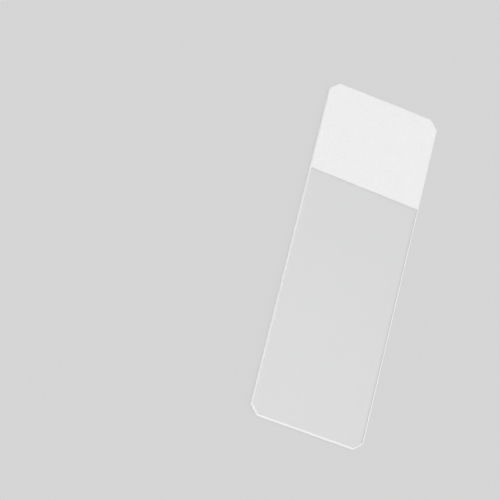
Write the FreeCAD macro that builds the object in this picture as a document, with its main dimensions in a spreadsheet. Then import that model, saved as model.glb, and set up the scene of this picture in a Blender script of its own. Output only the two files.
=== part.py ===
"""Microscope slide: one plate of clear glass, ground on every edge, with a frosted band to write on.

The plate lies on its plain face. The origin is the centre of that face, +X points to the
frosted end, +Y across the plate and +Z out of the face that carries the specimen.
All lengths are millimetres.
"""

import FreeCAD, Part
import Sketcher
import os

# Driving dimensions: alias, value, what it is.
DIMENSIONS = [
    ("slide_length", 76.0, "length of the plate, end to end"),
    ("slide_width", 26.0, "width of the plate"),
    ("slide_thickness", 1.0, "thickness of the glass"),
    ("corner_cut", 1.9, "leg of the 45 degree cut across each corner"),
    ("edge_bevel", 0.25, "leg of the 45 degree bevel ground along both faces"),
    ("frosted_length", 20.5, "length of the frosted band, from the end of the plate"),
    ("frosted_depth", 0.02, "glass that frosting takes off the face"),
]

AXIS_ACROSS = -1  # Sketcher's number for a sketch's own horizontal axis
AXIS_UPRIGHT = -2  # and for its vertical axis
START, END = 1, 2  # Sketcher's numbers for the two ends of a line
LEVEL = 0.999  # upright part of a face's normal, past which the face counts as level


def make_sheet(doc):
    """Puts the driving dimensions in a spreadsheet, one row each."""
    sheet = doc.addObject("Spreadsheet::Sheet", "dims")
    for row, (alias, value, meaning) in enumerate(DIMENSIONS, start=1):
        sheet.set(f"A{row}", meaning)
        sheet.set(f"B{row}", str(value))
        sheet.setAlias(f"B{row}", alias)
    doc.recompute()
    return sheet


def add_sketch(body, name, lift=None):
    """Adds a sketch on the body's own XY plane, lifted along +Z by an expression."""
    sketch = body.newObject("Sketcher::SketchObject", name)
    plane = next(f for f in body.Origin.OriginFeatures if f.Role == "XY_Plane")
    sketch.AttachmentSupport = [(plane, "")]
    sketch.MapMode = "FlatFace"
    if lift:
        sketch.setExpression("AttachmentOffset.Base.z", lift)
    return sketch


def add_loop(sketch, corners):
    """Draws a closed loop of lines through the corners, each joined to the next."""
    points = [FreeCAD.Vector(x, y, 0) for x, y in corners]
    ends = points[1:] + points[:1]
    lines = [sketch.addGeometry(Part.LineSegment(a, b)) for a, b in zip(points, ends)]
    for line, following in zip(lines, lines[1:] + lines[:1]):
        sketch.addConstraint(Sketcher.Constraint("Coincident", line, END, following, START))
    return lines


def mirror(sketch, first, second, axis):
    """Holds two points, each a line and one of its ends, as mirror images about an axis."""
    sketch.addConstraint(Sketcher.Constraint("Symmetric", *first, *second, axis))


def measure(sketch, kind, name, first, second, value, expression):
    """Names the distance along one axis between two points and ties it to the sheet."""
    number = sketch.addConstraint(Sketcher.Constraint(kind, *first, *second, value))
    sketch.renameConstraint(number, name)
    sketch.setExpression(f"Constraints.{name}", expression)


def draw_outline(sketch, sheet):
    """The plate from above: a rectangle about the origin with its four corners cut off."""
    end = sheet.slide_length / 2
    side = sheet.slide_width / 2
    cut = sheet.corner_cut
    front, _, right, _, back, _, left, _ = add_loop(
        sketch,
        [
            (cut - end, -side),
            (end - cut, -side),
            (end, cut - side),
            (end, side - cut),
            (end - cut, side),
            (cut - end, side),
            (-end, side - cut),
            (-end, cut - side),
        ],
    )
    mirror(sketch, (front, START), (front, END), AXIS_UPRIGHT)
    mirror(sketch, (back, START), (back, END), AXIS_UPRIGHT)
    mirror(sketch, (right, START), (right, END), AXIS_ACROSS)
    mirror(sketch, (left, START), (left, END), AXIS_ACROSS)
    mirror(sketch, (right, START), (left, END), AXIS_UPRIGHT)
    mirror(sketch, (front, START), (back, END), AXIS_ACROSS)
    measure(sketch, "DistanceX", "length", (left, END), (right, START), 2 * end, "dims.slide_length")
    measure(sketch, "DistanceY", "width", (front, START), (back, END), 2 * side, "dims.slide_width")
    measure(sketch, "DistanceX", "cut_along", (front, END), (right, START), cut, "dims.corner_cut")
    measure(sketch, "DistanceY", "cut_across", (front, END), (right, START), cut, "dims.corner_cut")


def draw_frosted_band(sketch, sheet):
    """The frosted band from above: the full width of the plate, in from its +X end."""
    end = sheet.slide_length / 2
    side = sheet.slide_width / 2
    inner = end - sheet.frosted_length
    front, right, back, _ = add_loop(
        sketch, [(inner, -side), (end, -side), (end, side), (inner, side)]
    )
    sketch.addConstraint(Sketcher.Constraint("Horizontal", front))
    mirror(sketch, (right, START), (right, END), AXIS_ACROSS)
    mirror(sketch, (front, START), (back, END), AXIS_ACROSS)
    origin = (AXIS_ACROSS, START)
    measure(sketch, "DistanceX", "end", origin, (right, START), end, "dims.slide_length / 2")
    measure(
        sketch, "DistanceX", "band", (front, START), (front, END), end - inner, "dims.frosted_length"
    )
    measure(sketch, "DistanceY", "width", (right, START), (right, END), 2 * side, "dims.slide_width")


def flat_faces(shape):
    """Names of the level faces: the top and the underside of the plate."""
    return [
        f"Face{number}"
        for number, face in enumerate(shape.Faces, start=1)
        if abs(face.normalAt(0, 0).z) > LEVEL
    ]


def make_glass_slide(doc, sheet):
    """Cuts the plate from sheet glass, grinds its edges and frosts one end of its top face."""
    body = doc.addObject("PartDesign::Body", "GlassSlide")
    body.Label = "glass_slide"

    outline = add_sketch(body, "PlateOutline")
    draw_outline(outline, sheet)
    plate = body.newObject("PartDesign::Pad", "Plate")
    plate.Profile = outline
    plate.setExpression("Length", "dims.slide_thickness")
    doc.recompute()

    bevels = body.newObject("PartDesign::Chamfer", "GroundEdges")
    bevels.Base = (plate, flat_faces(plate.Shape))
    bevels.setExpression("Size", "dims.edge_bevel")
    doc.recompute()

    band = add_sketch(body, "FrostedOutline", lift="dims.slide_thickness")
    draw_frosted_band(band, sheet)
    frosting = body.newObject("PartDesign::Pocket", "FrostedBand")
    frosting.Profile = band
    frosting.setExpression("Length", "dims.frosted_depth")
    doc.recompute()
    return body, [plate, bevels, frosting]


def check(doc, features):
    """Stops if an object failed, or if a bevel or the frosting took no glass away."""
    for item in doc.Objects:
        if "Invalid" in item.State or "Error" in item.State:
            raise RuntimeError(f"{item.Name} failed: {item.State}")
    volumes = [feature.Shape.Volume for feature in features]
    for feature, before, after in zip(features[1:], volumes, volumes[1:]):
        print(f"{feature.Name} takes away {before - after:.3f} mm3")
        if after >= before:
            raise RuntimeError(f"{feature.Name} cut nothing")


def export(body):
    """Writes the finished solid as parts/LABEL.step."""
    shape = body.Shape
    if shape.isNull() or not shape.isValid() or len(shape.Solids) != 1:
        raise RuntimeError(f"{body.Label} isn't one valid solid")
    os.makedirs("parts", exist_ok=True)
    shape.exportStep(f"parts/{body.Label}.step")
    box = shape.BoundBox
    print(f"{body.Label}: {box.XLength:.2f} x {box.YLength:.2f} x {box.ZLength:.2f} mm")
    print(f"{body.Label}: {shape.Volume:.2f} mm3, {len(shape.Faces)} faces")


def main():
    doc = FreeCAD.newDocument("microscope_slide")
    sheet = make_sheet(doc)
    body, features = make_glass_slide(doc, sheet)
    check(doc, features)
    export(body)


main()
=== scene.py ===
import bmesh
import bpy
import math
import random
from mathutils import Matrix, Vector, noise
from mathutils.geometry import delaunay_2d_cdt


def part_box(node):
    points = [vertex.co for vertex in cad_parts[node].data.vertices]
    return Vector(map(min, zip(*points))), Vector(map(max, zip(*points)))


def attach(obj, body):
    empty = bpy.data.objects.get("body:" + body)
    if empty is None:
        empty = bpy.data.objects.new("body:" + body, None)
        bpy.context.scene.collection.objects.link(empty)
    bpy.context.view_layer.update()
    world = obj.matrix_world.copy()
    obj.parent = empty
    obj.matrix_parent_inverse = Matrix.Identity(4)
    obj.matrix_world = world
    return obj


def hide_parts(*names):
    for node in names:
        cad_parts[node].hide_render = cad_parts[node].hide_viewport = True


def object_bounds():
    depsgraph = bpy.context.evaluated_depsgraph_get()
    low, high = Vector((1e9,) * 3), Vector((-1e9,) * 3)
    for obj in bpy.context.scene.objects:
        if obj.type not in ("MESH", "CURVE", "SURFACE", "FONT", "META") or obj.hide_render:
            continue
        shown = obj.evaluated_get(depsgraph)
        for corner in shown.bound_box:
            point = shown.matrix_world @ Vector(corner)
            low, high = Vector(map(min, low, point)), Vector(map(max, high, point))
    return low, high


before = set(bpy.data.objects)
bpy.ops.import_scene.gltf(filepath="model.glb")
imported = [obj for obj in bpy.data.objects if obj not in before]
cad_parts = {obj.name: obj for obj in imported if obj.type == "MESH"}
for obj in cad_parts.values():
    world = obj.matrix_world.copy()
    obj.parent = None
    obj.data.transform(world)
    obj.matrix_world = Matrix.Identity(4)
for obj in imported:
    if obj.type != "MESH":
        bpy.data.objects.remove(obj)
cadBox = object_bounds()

mm = 0.001  # the frame is in metres
random.seed(76)


camera = {
    "aim": (-4.48 * mm, 21.07 * mm),  # from the slide's centre, on the surface that it lies on
    "distance": 601.3 * mm,
    "azimuth": 139.08,  # of the camera as seen from the aim, counted from +X towards +Y
    "elevation": 63.43,
    "roll": 58.41,
    "lens": 208.8,
    "clip": (1 * mm, 20),  # the nearest and the furthest that it sees
}


def towards(azimuth, elevation):  # degrees, from +X towards +Y, and up
    a, e = math.radians(azimuth), math.radians(elevation)
    return Vector((math.cos(e) * math.cos(a), math.cos(e) * math.sin(a), math.sin(e)))


def buildCamera():
    low, high = cadBox
    middle = (low + high) / 2
    aim = Vector((middle.x + camera["aim"][0], middle.y + camera["aim"][1], low.z))
    outward = towards(camera["azimuth"], camera["elevation"])
    data = bpy.data.cameras.new("viewCamera")
    data.lens = camera["lens"]
    data.clip_start, data.clip_end = camera["clip"]
    obj = bpy.data.objects.new("viewCamera", data)
    level = (-outward).to_track_quat("-Z", "Y").to_matrix().to_4x4()
    turn = Matrix.Rotation(math.radians(camera["roll"]), 4, "Z")
    obj.matrix_world = Matrix.Translation(aim + outward * camera["distance"]) @ level @ turn
    bpy.context.scene.collection.objects.link(obj)
    bpy.context.scene.camera = obj


buildCamera()
print("camera set")


def mathNode(tree, operation, first, second):  # each input is a number or another node's socket
    node = tree.nodes.new("ShaderNodeMath")
    node.operation = operation
    for socket, value in zip(node.inputs, (first, second)):
        if isinstance(value, (int, float)):
            socket.default_value = value
        else:
            tree.links.new(value, socket)
    return node.outputs[0]


studio = {
    "surround": 0.68,  # the white room
    # soft panels: the brightness that each adds, and how many degrees from its middle it stays
    # full and where it ends
    "panels": [
        {"azimuth": 340, "elevation": 86, "adds": 1.45, "full": 4, "ends": 34},
        {"azimuth": 258, "elevation": 42, "adds": 0.72, "full": 12, "ends": 46},
        {"azimuth": 160, "elevation": 25, "adds": 0.35, "full": 8, "ends": 44},
    ],
    "floorColour": (0.66, 0.66, 0.66),
    "floorRoughness": 0.9,
    "floorSize": 3.0,
    "floorDrop": 0.05 * mm,  # keeps the floor clear of the slide's underside
    "floorGlow": 0.87,  # share of the floor's own tone that is seen without any shadow
}


# the room is one pale tone with soft bright panels in it, so that nothing mirrors with a hard edge
def buildWorld():
    world = bpy.data.worlds.new("studio")
    bpy.context.scene.world = world
    world.use_nodes = True
    tree = world.node_tree
    tree.nodes.clear()
    out = tree.nodes.new("ShaderNodeOutputWorld")
    background = tree.nodes.new("ShaderNodeBackground")
    background.inputs["Color"].default_value = (1, 1, 1, 1)
    where = tree.nodes.new("ShaderNodeTexCoord")
    total = studio["surround"]
    for panel in studio["panels"]:
        facing = tree.nodes.new("ShaderNodeVectorMath")
        facing.operation = "DOT_PRODUCT"
        facing.inputs[1].default_value = towards(panel["azimuth"], panel["elevation"])
        fade = tree.nodes.new("ShaderNodeMapRange")
        fade.interpolation_type = "SMOOTHSTEP"
        fade.inputs["From Min"].default_value = math.cos(math.radians(panel["ends"]))
        fade.inputs["From Max"].default_value = math.cos(math.radians(panel["full"]))
        fade.inputs["To Max"].default_value = panel["adds"]
        tree.links.new(where.outputs["Generated"], facing.inputs[0])
        tree.links.new(facing.outputs["Value"], fade.inputs["Value"])
        total = mathNode(tree, "ADD", total, fade.outputs["Result"])
    tree.links.new(total, background.inputs["Strength"])
    tree.links.new(background.outputs[0], out.inputs["Surface"])


def floorFinish():
    material = bpy.data.materials.new("floorPaper")
    material.use_nodes = True
    tree = material.node_tree
    paper = tree.nodes["Principled BSDF"]
    paper.inputs["Base Color"].default_value = (*studio["floorColour"], 1)
    paper.inputs["Roughness"].default_value = studio["floorRoughness"]
    paper.inputs["Specular IOR Level"].default_value = 0.0
    glow = tree.nodes.new("ShaderNodeEmission")
    glow.inputs["Color"].default_value = (*studio["floorColour"], 1)
    path = tree.nodes.new("ShaderNodeLightPath")
    seen = path.outputs["Is Camera Ray"]
    for kind in ("Is Glossy Ray", "Is Transmission Ray"):
        seen = mathNode(tree, "MAXIMUM", seen, path.outputs[kind])
    mix = tree.nodes.new("ShaderNodeMixShader")
    tree.links.new(mathNode(tree, "MULTIPLY", seen, studio["floorGlow"]), mix.inputs[0])
    tree.links.new(paper.outputs[0], mix.inputs[1])
    tree.links.new(glow.outputs[0], mix.inputs[2])
    tree.links.new(mix.outputs[0], tree.nodes["Material Output"].inputs["Surface"])
    return material


def buildFloor():
    half = studio["floorSize"] / 2
    corners = [(-half, -half, 0), (half, -half, 0), (half, half, 0), (-half, half, 0)]
    mesh = bpy.data.meshes.new("floor")
    mesh.from_pydata(corners, [], [(0, 1, 2, 3)])
    mesh.materials.append(floorFinish())
    obj = bpy.data.objects.new("floor", mesh)
    obj.location.z = cadBox[0].z - studio["floorDrop"]
    bpy.context.scene.collection.objects.link(obj)


buildWorld()
buildFloor()
print("light and floor set")


def newGroup(name, inputs, outputs):
    group = bpy.data.node_groups.new(name, "ShaderNodeTree")
    for label, default in inputs:
        socket = group.interface.new_socket(label, in_out="INPUT", socket_type="NodeSocketFloat")
        socket.default_value = default
    for label in outputs:
        group.interface.new_socket(label, in_out="OUTPUT", socket_type="NodeSocketFloat")
    return group, group.nodes.new("NodeGroupInput"), group.nodes.new("NodeGroupOutput")


def scaledPoint(tree, factors):  # object coordinates, each axis times its own factor
    where = tree.nodes.new("ShaderNodeTexCoord")
    scale = tree.nodes.new("ShaderNodeMapping")
    scale.inputs["Scale"].default_value = factors
    tree.links.new(where.outputs["Object"], scale.inputs["Vector"])
    return scale.outputs["Vector"]


def noiseOf(tree, point, detail, scale=1.0, rough=0.5):  # scale is a number or a socket
    node = tree.nodes.new("ShaderNodeTexNoise")
    node.inputs["Detail"].default_value = detail
    node.inputs["Roughness"].default_value = rough
    if isinstance(scale, (int, float)):
        node.inputs["Scale"].default_value = scale
    else:
        tree.links.new(scale, node.inputs["Scale"])
    tree.links.new(point, node.inputs["Vector"])
    return node.outputs["Fac"]


grain = {
    "layers": {"Pit": 3.0, "Clump": 2.0, "Mottle": 2.0},  # each with the detail of its noise
    "rough": 0.6,
    "inputs": [  # the group's own values, in millimetres and in shares of the tone
        ("Pit Size", 0.1), ("Clump Size", 0.4), ("Mottle Size", 5.0),
        ("Pit Share", 1.0), ("Clump Share", 1.0), ("Mottle Share", 0.5),
    ],
}


# ground glass: fine pits, clumps of pits and a slow mottle; the pits alone give the height
def buildGrain():
    tree, given, out = newGroup("groundGrain", grain["inputs"], ["Tone", "Height"])
    point = scaledPoint(tree, (1 / mm, 1 / mm, 1 / mm))
    tone = 0.5
    for layer, detail in grain["layers"].items():
        scale = mathNode(tree, "DIVIDE", 1.0, given.outputs[f"{layer} Size"])
        swing = mathNode(tree, "SUBTRACT", noiseOf(tree, point, detail, scale, grain["rough"]), 0.5)
        part = mathNode(tree, "MULTIPLY", swing, given.outputs[f"{layer} Share"])
        tone = mathNode(tree, "ADD", tone, part)
        if layer == "Pit":
            tree.links.new(mathNode(tree, "ADD", swing, 0.5), out.inputs["Height"])
    tree.links.new(tone, out.inputs["Tone"])
    return tree


grainGroup = buildGrain()
print("shared effects built")


finishes = {
    "ior": 1.52,
    "polished": {
        "colour": (0.990, 0.995, 0.993),
        "roughness": (0.0, 0.012),  # clean glass to faintly wiped
        "wipes": (60, 260, 60),  # per metre, so the wipes run along the plate
        "wipeDetail": 4.0,
        "waves": (90, 90, 90),  # per metre
        "waveDetail": 1.0,
        "waviness": 0.02,
        "waveDepth": 0.05 * mm,
    },
    "ground": {  # the upper bevel and the land: pale from outside
        "dark": (0.91, 0.91, 0.91),
        "light": (1.0, 1.0, 1.0),
        "roughness": (0.40, 0.65),
        "transmission": 0.12,
        "bump": 0.5,
    },
    "groundUnder": {  # the lower bevel, which is seen through the plate
        "dark": (0.92, 0.92, 0.92),
        "light": (1.0, 1.0, 1.0),
        "roughness": (0.08, 0.18),
        "transmission": 1.0,
        "bump": 0.2,
    },
    "frosted": {
        "dark": (0.83, 0.83, 0.83),
        "light": (0.93, 0.93, 0.93),
        "roughness": (0.52, 0.78),
        "transmission": 0.25,
        "bump": 0.6,
    },
    "pitDepth": 0.04 * mm,
    "groundGrain": {
        "Pit Size": 0.08, "Clump Size": 0.35, "Mottle Size": 3.0,
        "Pit Share": 2.0, "Clump Share": 1.4, "Mottle Share": 0.8,
    },
    "frostedGrain": {
        "Pit Size": 0.12, "Clump Size": 0.5, "Mottle Size": 6.0,
        "Pit Share": 2.0, "Clump Share": 1.4, "Mottle Share": 0.5,
    },
    "wheelMarks": (0.5 / mm, 0.5 / mm, 22 / mm),  # how close they are: long ones round the plate
    "wheelDetail": 3.0,
    "wheelShare": 1.6,  # of the marks in the ground edges' tone
}


def newFinish(name, transmission):
    material = bpy.data.materials.new(name)
    material.use_nodes = True
    tree = material.node_tree
    shader = tree.nodes["Principled BSDF"]
    shader.inputs["IOR"].default_value = finishes["ior"]
    shader.inputs["Transmission Weight"].default_value = transmission
    return material, tree, shader


def ramp(tree, value, low, high):
    node = tree.nodes.new("ShaderNodeMapRange")
    node.inputs["To Min"].default_value = low
    node.inputs["To Max"].default_value = high
    tree.links.new(value, node.inputs["Value"])
    return node.outputs["Result"]


def blendColour(tree, value, dark, light):
    node = tree.nodes.new("ShaderNodeMix")
    node.data_type = "RGBA"
    node.inputs["A"].default_value = (*dark, 1)
    node.inputs["B"].default_value = (*light, 1)
    tree.links.new(value, node.inputs["Factor"])
    return node.outputs["Result"]


def addBump(tree, shader, height, strength, distance):
    node = tree.nodes.new("ShaderNodeBump")
    node.inputs["Strength"].default_value = strength
    node.inputs["Distance"].default_value = distance
    tree.links.new(height, node.inputs["Height"])
    tree.links.new(node.outputs["Normal"], shader.inputs["Normal"])


def polishedFinish():
    spec = finishes["polished"]
    material, tree, shader = newFinish("polishedGlass", 1.0)
    shader.inputs["Base Color"].default_value = (*spec["colour"], 1)
    wiped = noiseOf(tree, scaledPoint(tree, spec["wipes"]), spec["wipeDetail"])
    tree.links.new(ramp(tree, wiped, *spec["roughness"]), shader.inputs["Roughness"])
    waves = noiseOf(tree, scaledPoint(tree, spec["waves"]), spec["waveDetail"])
    addBump(tree, shader, waves, spec["waviness"], spec["waveDepth"])
    return material


def mattFinish(name, spec, grainValues, wheel):  # wheel: with the marks of the grinding wheel
    material, tree, shader = newFinish(name, spec["transmission"])
    pits = tree.nodes.new("ShaderNodeGroup")
    pits.node_tree = grainGroup
    for label, value in grainValues.items():
        pits.inputs[label].default_value = value
    tone, height = pits.outputs["Tone"], pits.outputs["Height"]
    if wheel:
        marks = noiseOf(tree, scaledPoint(tree, finishes["wheelMarks"]), finishes["wheelDetail"])
        swing = mathNode(tree, "SUBTRACT", marks, 0.5)
        tone = mathNode(tree, "ADD", tone, mathNode(tree, "MULTIPLY", swing, finishes["wheelShare"]))
        height = mathNode(tree, "ADD", height, swing)
    colour = blendColour(tree, tone, spec["dark"], spec["light"])
    tree.links.new(colour, shader.inputs["Base Color"])
    tree.links.new(ramp(tree, tone, *spec["roughness"]), shader.inputs["Roughness"])
    addBump(tree, shader, height, spec["bump"], finishes["pitDepth"])
    return material


slide = {
    "node": "glass_slide",
    "column": 0.15 * mm,  # spacing of the mesh along the edge
    "cornerRadius": (0.12 * mm, 0.04 * mm),  # where two ground sides meet: at the land, at the flat face
    "cornerSteps": 4,
    # across the edge, in bevels: how far in and how high, from a flat face to the land
    "profile": [(1.0, 0.0), (0.55, 0.45), (0.14, 0.86), (0.04, 1.02), (0.0, 1.2)],
    "wander": 0.03,  # how far the bevel's inner edge wanders, as a share of the bevel
    "wanderFrom": 0.3,  # how far in along the profile it starts to
    "wanderRate": 260,  # per metre, as are the other rates
    "wanderSeed": 7.3,
    "landWander": 0.008 * mm,
    "landRate": (350, 800),  # round the plate, and up
    "chips": 26,
    "chipFrom": 0.8,  # how far in along the profile they start
    "chipWidth": (0.30 * mm, 0.60 * mm),
    "chipDepth": (0.01 * mm, 0.06 * mm),
    "chipShare": (0.3, 1.0),  # of that depth, so that most are shallow
    "chipsAbove": 0.6,  # share of them in the upper bevel
    "frostWander": 0.03 * mm,  # the frosted band's border isn't quite straight
    "frostRate": 1500,
    "frostSeed": 3.1,
    "frostSlant": 0.33 * mm,  # nor quite square: it lies this much further in on the -Y side
    "frostStep": 0.25 * mm,
    "flatStep": 0.8 * mm,  # spacing of the mesh inside the flat faces
    "flatMargin": 0.4 * mm,  # how far that mesh keeps from their border
}
cornerTurn = math.pi / 4  # each of the plate's eight corners turns by this
backSide, frontSide = 2, 6  # of its eight sides, anticlockwise from the +X end: those on +Y and -Y
polished, ground, frosted, groundUnder = range(4)  # places of the finishes on the slide
hair = 0.005 * mm  # points nearer than this are level with each other


def readPlate(node):  # the plate's own sizes, from its CAD mesh
    low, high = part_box(node)
    points = [v.co.copy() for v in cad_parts[node].data.vertices]
    heights = sorted({round(p.z / mm, 3) for p in points})
    bandHeight = heights[-2] * mm
    return {
        "end": high.x,
        "side": high.y,
        "base": low.z,
        "top": high.z,
        "bevel": heights[1] * mm - low.z,
        "bandTop": bandHeight,
        "bandStart": min(p.x for p in points if abs(p.z - bandHeight) < hair),
        "cut": high.x - max(p.x for p in points if abs(p.y - high.y) < hair),
    }


def outlineRing(plate, inset, radius, fractions):
    # points round the plate, anticlockwise from above: each side by its fractions, then a rounded corner
    end, side, cut = plate["end"], plate["side"], plate["cut"]
    corners = [Vector(spot) for spot in (
        (end, cut - side), (end, side - cut), (end - cut, side), (cut - end, side),
        (-end, side - cut), (-end, cut - side), (cut - end, -side), (end - cut, -side),
    )]
    count = len(corners)
    steps = slide["cornerSteps"]
    half = math.tan(cornerTurn / 2)
    ways = [(corners[(k + 1) % count] - corners[k]).normalized() for k in range(count)]
    inwards = [Vector((-way.y, way.x)) for way in ways]
    # every corner turns by the same angle, so it moves in along both its sides alike
    moved = [corners[k] + inwards[k] * inset + ways[k] * inset * half for k in range(count)]
    ring = []
    for k in range(count):
        start = moved[k] + ways[k] * radius * half
        finish = moved[(k + 1) % count] - ways[k] * radius * half
        ring += [start.lerp(finish, f) for f in fractions[k]]
        centre = finish + inwards[k] * radius
        for step in range(1, steps):
            ring.append(centre + Matrix.Rotation(cornerTurn * step / steps, 2) @ (finish - centre))
    return ring


def sideFractions(plate):
    # even columns along each side, with one column of each long side moved onto the frosted band's border
    end, side, cut = plate["end"], plate["side"], plate["cut"]
    slant = cut * math.sqrt(2)
    reach = end - cut - math.tan(cornerTurn / 2) * (plate["bevel"] + slide["cornerRadius"][1])
    # how far along each long side, in the direction it runs in, the band's border lies
    shares = {
        backSide: 0.5 - 0.5 * plate["bandStart"] / reach,
        frontSide: 0.5 + 0.5 * (plate["bandStart"] - slide["frostSlant"]) / reach,
    }
    border = []
    fractions = []
    total = 0
    for k, length in enumerate((2 * (side - cut), slant, 2 * (end - cut), slant) * 2):
        pieces = max(1, round(length / slide["column"]))
        row = [j / pieces for j in range(pieces + 1)]
        if k in shares:
            nearest = min(range(len(row)), key=lambda j: abs(row[j] - shares[k]))
            row[nearest] = shares[k]
            border.append(total + nearest)
        fractions.append(row)
        total += len(row) + slide["cornerSteps"] - 1
    return fractions, border


def placeChips(length):
    chips = []
    for _ in range(slide["chips"]):
        chips.append({
            "at": random.uniform(0, length),
            "half": random.uniform(*slide["chipWidth"]) / 2,
            "depth": random.uniform(*slide["chipDepth"]) * random.uniform(*slide["chipShare"]),
            "upper": random.random() < slide["chipsAbove"],
        })
    return chips


def chipDepth(chips, along, upper):
    deepest = 0.0
    for chip in chips:
        off = abs(along - chip["at"]) / chip["half"]
        if chip["upper"] == upper and off < 1:
            deepest = max(deepest, chip["depth"] * math.sqrt(1 - off * off))
    return deepest


def spotsInside(plate, low, high):
    # an even grid over a flat face from one x to another, clear of its border
    margin = plate["bevel"] + slide["flatMargin"]
    side = plate["side"] - margin
    slant = plate["end"] + plate["side"] - plate["cut"] - margin * math.sqrt(2)
    across, along = (max(1, round(reach / slide["flatStep"])) for reach in (2 * side, high - low))
    spots = []
    for j in range(across + 1):
        y = side * (2 * j / across - 1)
        for i in range(along + 1):
            x = low + (high - low) * i / along
            if abs(x) + abs(y) < slant:
                spots.append((x, y))
    return spots


def fillFlat(bm, loop, spots, z, up):
    # triangles over a flat face, from its border's own points and the spots inside it
    points = [Vector((v.co.x, v.co.y)) / mm for v in loop] + [Vector(spot) / mm for spot in spots]
    insideOnly, closest = 1, 1e-6  # keep the triangles inside the loop, and join points nearer than this
    found = delaunay_2d_cdt(points, [], [list(range(len(loop)))], insideOnly, closest)
    corners = []
    for place, sources in zip(found[0], found[3]):
        onBorder = [s for s in sources if s < len(loop)]
        if onBorder:
            corners.append(loop[onBorder[0]])
        else:
            corners.append(bm.verts.new((place.x * mm, place.y * mm, z)))
    faces = []
    for triangle in found[2]:
        a, b, c = (corners[t] for t in triangle)
        faces.append(bm.faces.new((a, b, c) if up else (c, b, a)))
    return faces


def frostedBorder(bm, plate, start, finish):
    # the wavering border between the two columns, on the clear face and on the frosted one
    upper, lower = [start[0]], [start[1]]
    span = finish[0].co - start[0].co
    pieces = round(span.y / slide["frostStep"])
    for j in range(1, pieces):
        x = start[0].co.x + span.x * j / pieces
        y = start[0].co.y + span.y * j / pieces
        wave = noise.noise(Vector((y * slide["frostRate"], slide["frostSeed"], 0)))
        x += slide["frostWander"] * wave * math.sqrt(math.sin(math.pi * j / pieces))
        upper.append(bm.verts.new((x, y, plate["top"])))
        lower.append(bm.verts.new((x, y, plate["bandTop"])))
    return upper + [finish[0]], lower + [finish[1]]


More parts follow.
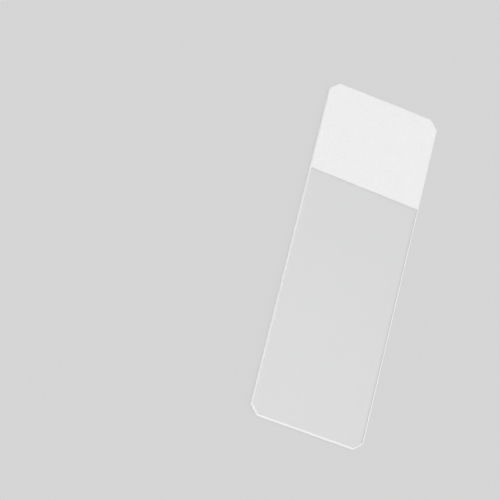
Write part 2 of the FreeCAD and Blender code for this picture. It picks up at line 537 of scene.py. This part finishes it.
def buildSlide():
    plate = readPlate(slide["node"])
    bevel = plate["bevel"]
    fractions, border = sideFractions(plate)
    outer = outlineRing(plate, 0.0, slide["cornerRadius"][0], fractions)
    inner = outlineRing(plate, bevel, slide["cornerRadius"][1], fractions)
    count = len(outer)
    along = [0.0]
    for k in range(count):
        along.append(along[-1] + (outer[(k + 1) % count] - outer[k]).length)
    chips = placeChips(along[-1])
    bandInset = (bevel - (plate["top"] - plate["bandTop"])) / bevel
    levels = [(i, plate["base"] + h * bevel) for i, h in slide["profile"]]
    levels += [(i, plate["top"] - h * bevel) for i, h in reversed(slide["profile"][1:])]
    levels.append((bandInset, plate["bandTop"]))

    bm = bmesh.new()

    def ringPoint(k, share, z):  # share is how far in it lies: 0 on the land, 1 at the flat face
        x, y = outer[k]
        rate, rise = slide["landRate"]
        land = slide["landWander"] * (0.5 + 0.5 * noise.noise(Vector((x * rate, y * rate, z * rise))))
        inset = share * bevel + land * (1 - share)
        if share > slide["wanderFrom"]:
            rate = slide["wanderRate"]
            wave = noise.noise(Vector((x * rate, y * rate, slide["wanderSeed"])))
            inset += share * bevel * slide["wander"] * wave
        if share > slide["chipFrom"]:
            inset += chipDepth(chips, along[k], z > plate["top"] / 2)
        spot = outer[k].lerp(inner[k], inset / bevel)
        return bm.verts.new((spot.x, spot.y, z))

    rings = [[ringPoint(k, share, z) for k in range(count)] for share, z in levels]
    bandRing = rings[-1]
    back, front = border  # the columns on the frosted band's border
    clearColumns = list(range(back, front + 1))
    bandColumns = list(range(front, count)) + list(range(0, back + 1))
    clearTop = {k: ringPoint(k, 1.0, plate["top"]) for k in clearColumns}

    edgeFaces = []
    for low, high in zip(rings, rings[1:]):
        for k in range(count):
            n = (k + 1) % count
            edgeFaces.append(bm.faces.new((low[k], low[n], high[n], high[k])))
    for k, n in zip(clearColumns, clearColumns[1:]):
        edgeFaces.append(bm.faces.new((bandRing[k], bandRing[n], clearTop[n], clearTop[k])))

    ends = [(clearTop[k], bandRing[k]) for k in (front, back)]
    upper, lower = frostedBorder(bm, plate, *ends)
    wall = []
    for j in range(len(upper) - 1):
        wall.append(bm.faces.new((upper[j + 1], upper[j], lower[j], lower[j + 1])))

    reach = plate["end"] - bevel - slide["flatMargin"]
    beforeBand = plate["bandStart"] - slide["frostSlant"] - slide["flatMargin"]
    insideBand = plate["bandStart"] + slide["flatMargin"]
    clearLoop = [clearTop[k] for k in clearColumns] + upper[1:-1]
    bandLoop = [bandRing[k] for k in bandColumns] + lower[-2:0:-1]
    clearFaces = fillFlat(bm, clearLoop, spotsInside(plate, -reach, beforeBand), plate["top"], True)
    bandFaces = fillFlat(bm, bandLoop, spotsInside(plate, insideBand, reach), plate["bandTop"], True)
    underFaces = fillFlat(bm, rings[0], spotsInside(plate, -reach, reach), plate["base"], False)

    for face in edgeFaces:
        under = face.calc_center_median().z < plate["base"] + bevel
        face.material_index = groundUnder if under else ground
        face.smooth = True
    for face in wall + bandFaces:
        face.material_index = frosted
    for face in clearFaces + underFaces:
        face.material_index = polished
    for edge in bm.edges:
        edge.smooth = all(face.smooth for face in edge.link_faces)
    bm.normal_update()
    openEdges = sum(len(edge.link_faces) != 2 for edge in bm.edges)
    volume = bm.calc_volume() / mm ** 3
    print(f"slide: {len(bm.faces)} faces, {openEdges} open edges, volume {volume:.1f} mm3")

    mesh = bpy.data.meshes.new("slideGlass")
    bm.to_mesh(mesh)
    bm.free()
    groundGrain, frostedGrain = finishes["groundGrain"], finishes["frostedGrain"]
    for finish in (
        polishedFinish(),
        mattFinish("groundEdge", finishes["ground"], groundGrain, wheel=True),
        mattFinish("frostedGlass", finishes["frosted"], frostedGrain, wheel=False),
        mattFinish("groundUnderEdge", finishes["groundUnder"], groundGrain, wheel=True),
    ):
        mesh.materials.append(finish)
    obj = bpy.data.objects.new("slideGlass", mesh)
    bpy.context.scene.collection.objects.link(obj)
    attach(obj, "root")
    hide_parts(slide["node"])


buildSlide()
print("slide built")

bpy.context.scene.view_settings.view_transform = "Standard"
